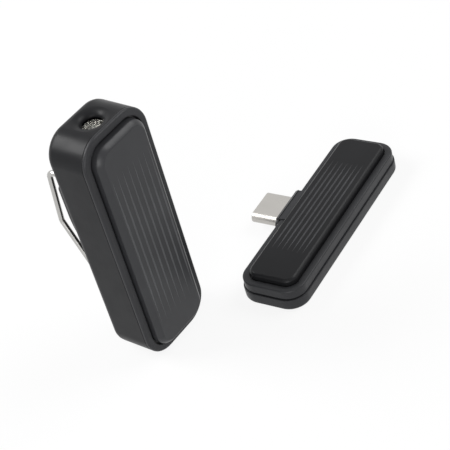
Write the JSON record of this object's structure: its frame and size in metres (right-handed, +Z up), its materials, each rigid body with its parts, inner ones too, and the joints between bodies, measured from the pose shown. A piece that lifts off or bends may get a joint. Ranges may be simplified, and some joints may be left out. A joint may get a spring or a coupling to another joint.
{
  "type": "lavalier microphone",
  "caption": "Clip-on lavalier microphone transmitter with a ribbed face and a spring wire clip, with its plug-in receiver lying beside it.",
  "frame": {"origin": "middle of the transmitter's bottom end face, on the surface that both pieces stand on", "axes": "+Z up the transmitter's length, -Y out of its ribbed face, +Y out of its back towards the clip, +X to its right seen from the front; the receiver lies on its back at +X, its ribbed face towards +Z"},
  "size_m": [0.0704, 0.036, 0.0525],
  "materials": {
    "housing": "satin moulded charcoal plastic",
    "housing_trim": "satin moulded charcoal plastic",
    "ribbed_face": "satin moulded charcoal plastic with fine ribs",
    "clip_block": "matte black plastic",
    "steel_mesh": "woven stainless wire",
    "spring_steel": "polished spring steel wire",
    "capsule_metal": "bare metal",
    "screw_steel": "zinc plated steel",
    "black_rubber": "soft black rubber and foam",
    "circuit_board": "green solder mask",
    "chip_black": "moulded chip resin",
    "antenna_ceramic": "glazed ceramic",
    "battery_foil": "laminated foil pouch",
    "button_rubber": "soft-touch button",
    "light_lens": "frosted clear lens",
    "plug_nickel": "satin nickel plate",
    "plug_plastic": "black connector plastic",
    "contact_gold": "gold plate"
  },
  "bodies": {
    "transmitter": {"tx_main_shell": "housing", "tx_front_bezel": "housing_trim", "tx_ribbed_pad": "ribbed_face", "mic_mesh": "steel_mesh", "mic_foam_ring": "black_rubber", "mic_capsule": "capsule_metal", "mic_rubber_boot": "black_rubber", "clip_block": "clip_block", "clip_pivot_bracket": "capsule_metal", "tx_circuit_board": "circuit_board", "tx_board_screws": "screw_steel", "tx_chips": "chip_black", "tx_antenna": "antenna_ceramic", "battery": "battery_foil", "button_switch": "capsule_metal", "status_light": "light_lens", "charge_socket_shell": "plug_nickel", "charge_socket_tongue": "plug_plastic"},
    "clip": {"clip_wire": "spring_steel"},
    "button": {"power_button": "button_rubber"},
    "receiver": {"rx_back_shell": "housing", "rx_front_shell": "housing_trim", "rx_ribbed_pad": "ribbed_face", "plug_collar": "clip_block", "plug_shell": "plug_nickel", "plug_insulator": "plug_plastic", "plug_contacts": "contact_gold", "rx_circuit_board": "circuit_board", "rx_chips": "chip_black", "rx_antenna": "antenna_ceramic"}
  },
  "joints": [
    {"name": "clip_open", "type": "hinge", "parent": "transmitter", "child": "clip", "pos_m": [0, 0.00285, 0.0419], "axis": [1, 0, 0], "range_deg": [0, 18], "stiffness_Nm_per_rad": 0.02},
    {"name": "button_press", "type": "slide", "parent": "transmitter", "child": "button", "axis": [-1, 0, 0], "range_m": [0, 0.00025], "stiffness_N_per_m": 400},
    {"name": "receiver_lift", "type": "slide", "parent": "transmitter", "child": "receiver", "axis": [0, 0, 1], "range_m": [0, 0.04]}
  ]
}
